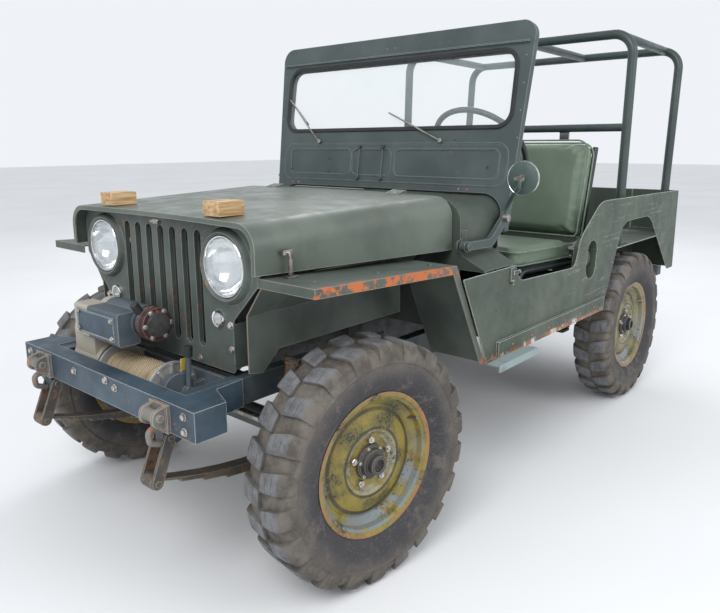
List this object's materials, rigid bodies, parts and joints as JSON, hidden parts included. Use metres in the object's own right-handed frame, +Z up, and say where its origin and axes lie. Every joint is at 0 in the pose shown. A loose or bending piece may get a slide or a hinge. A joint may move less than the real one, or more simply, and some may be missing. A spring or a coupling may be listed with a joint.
{
  "type": "army 4x4 car",
  "caption": "Open unarmed army 4x4 car with slotted grille, winch bumper, flat fenders, folding windshield, bar-tread tyres, tailgate and roll cage.",
  "frame": {"origin": "on the ground, midway along and across the car", "axes": "+X towards the car's left, +Y towards its rear, +Z up"},
  "size_m": [1.586, 3.285, 1.8306],
  "materials": {
    "body_paint": "worn satin",
    "frame_paint": "worn satin, dusty",
    "winch_paint": "worn satin",
    "bare_steel": "weathered, rusty",
    "castings": "rough",
    "rope": "twisted tan rope",
    "lamp_glass": "clear lens in a chrome ring",
    "black_tube": "satin black",
    "seat_vinyl": "light green vinyl",
    "pine": "bare",
    "glass": "clear",
    "chrome_trim": "polished, pitted",
    "black_plastic": "worn",
    "tyre_rubber": "dusty",
    "rim_front": "chipped, rusty",
    "rim_rear": "chipped"
  },
  "bodies": {
    "chassis": {"frame_rails": "frame_paint", "front_bumper": "frame_paint", "tow_shackles": "bare_steel", "winch_body": "winch_paint", "grille": "body_paint", "lamps": "lamp_glass", "radiator": "frame_paint", "fender_left": "body_paint", "fender_right": "body_paint", "cowl": "body_paint", "body_side_left": "body_paint", "body_side_right": "body_paint", "floor": "body_paint", "engine_block": "castings", "exhaust": "bare_steel", "fuel_tank": "frame_paint", "axle_front": "frame_paint", "axle_rear": "frame_paint", "suspension": "frame_paint", "driveshafts": "frame_paint", "seat_frames": "black_tube", "seat_pads": "seat_vinyl", "roll_cage": "black_tube", "driver_controls": "black_tube", "rear_bumper": "frame_paint"},
    "hood": {"hood": "body_paint", "hood_blocks": "pine"},
    "windshield": {"windshield_frame": "body_paint", "windshield_glass": "glass", "wipers": "bare_steel", "side_mirror": "chrome_trim"},
    "tailgate": {"tailgate": "body_paint"},
    "steering_wheel": {"steering_wheel": "black_plastic"},
    "tie_rod": {"tie_rod": "bare_steel"},
    "knuckle_left": {"knuckle_left": "frame_paint"},
    "knuckle_right": {"knuckle_right": "frame_paint"},
    "winch_drum": {"winch_drum": "rope"},
    "wheel_front_left": {"tyre_front_left": "tyre_rubber", "rim_front_left": "rim_front"},
    "wheel_front_right": {"tyre_front_right": "tyre_rubber", "rim_front_right": "rim_front"},
    "wheel_rear_left": {"tyre_rear_left": "tyre_rubber", "rim_rear_left": "rim_rear"},
    "wheel_rear_right": {"tyre_rear_right": "tyre_rubber", "rim_rear_right": "rim_rear"}
  },
  "joints": [
    {"name": "hood_hinge", "type": "hinge", "parent": "chassis", "child": "hood", "pos_m": [0, -0.538, 1.13], "axis": [-1, 0, 0], "range_deg": [0, 105]},
    {"name": "windshield_fold", "type": "hinge", "parent": "chassis", "child": "windshield", "pos_m": [0, -0.543, 0.951], "axis": [-1, 0, 0], "range_deg": [-102, 0]},
    {"name": "tailgate_hinge", "type": "hinge", "parent": "chassis", "child": "tailgate", "pos_m": [0, 1.557, 0.65], "axis": [-1, 0, 0], "range_deg": [0, 90]},
    {"name": "steer_left", "type": "hinge", "parent": "chassis", "child": "knuckle_left", "pos_m": [0.56, -1.095, 0.376], "axis": [0, 0, 1], "range_deg": [-17, 31]},
    {"name": "steer_right", "type": "hinge", "parent": "chassis", "child": "knuckle_right", "pos_m": [-0.56, -1.095, 0.376], "axis": [0, 0, 1], "range_deg": [-17, 31]},
    {"name": "steering_wheel_turn", "type": "hinge", "parent": "chassis", "child": "steering_wheel", "pos_m": [0.35, -0.013, 1.284], "axis": [0, 0.7431, 0.6691], "range_deg": [-238, 434]},
    {"name": "tie_rod_pivot", "type": "hinge", "parent": "knuckle_left", "child": "tie_rod", "pos_m": [0.54294, -1.23396, 0.458], "axis": [0, 0, 1], "range_deg": [-31, 17]},
    {"name": "winch_drum_turn", "type": "hinge", "parent": "chassis", "child": "winch_drum", "pos_m": [0, -1.441, 0.578], "axis": [1, 0, 0], "continuous": true},
    {"name": "wheel_front_left_spin", "type": "hinge", "parent": "knuckle_left", "child": "wheel_front_left", "pos_m": [0.6394, -1.10475, 0.376], "axis": [0.9925, -0.1219, 0], "continuous": true},
    {"name": "wheel_front_right_spin", "type": "hinge", "parent": "knuckle_right", "child": "wheel_front_right", "pos_m": [-0.6394, -1.08525, 0.376], "axis": [0.9925, -0.1219, 0], "continuous": true},
    {"name": "wheel_rear_left_spin", "type": "hinge", "parent": "chassis", "child": "wheel_rear_left", "pos_m": [0.64, 0.937, 0.376], "axis": [1, 0, 0], "continuous": true},
    {"name": "wheel_rear_right_spin", "type": "hinge", "parent": "chassis", "child": "wheel_rear_right", "pos_m": [-0.64, 0.937, 0.376], "axis": [1, 0, 0], "continuous": true}
  ],
  "couplings": [
    {"joint": "steer_right", "follows": "steer_left", "ratio": 1},
    {"joint": "steering_wheel_turn", "follows": "steer_left", "ratio": 14},
    {"joint": "tie_rod_pivot", "follows": "steer_left", "ratio": -1}
  ]
}
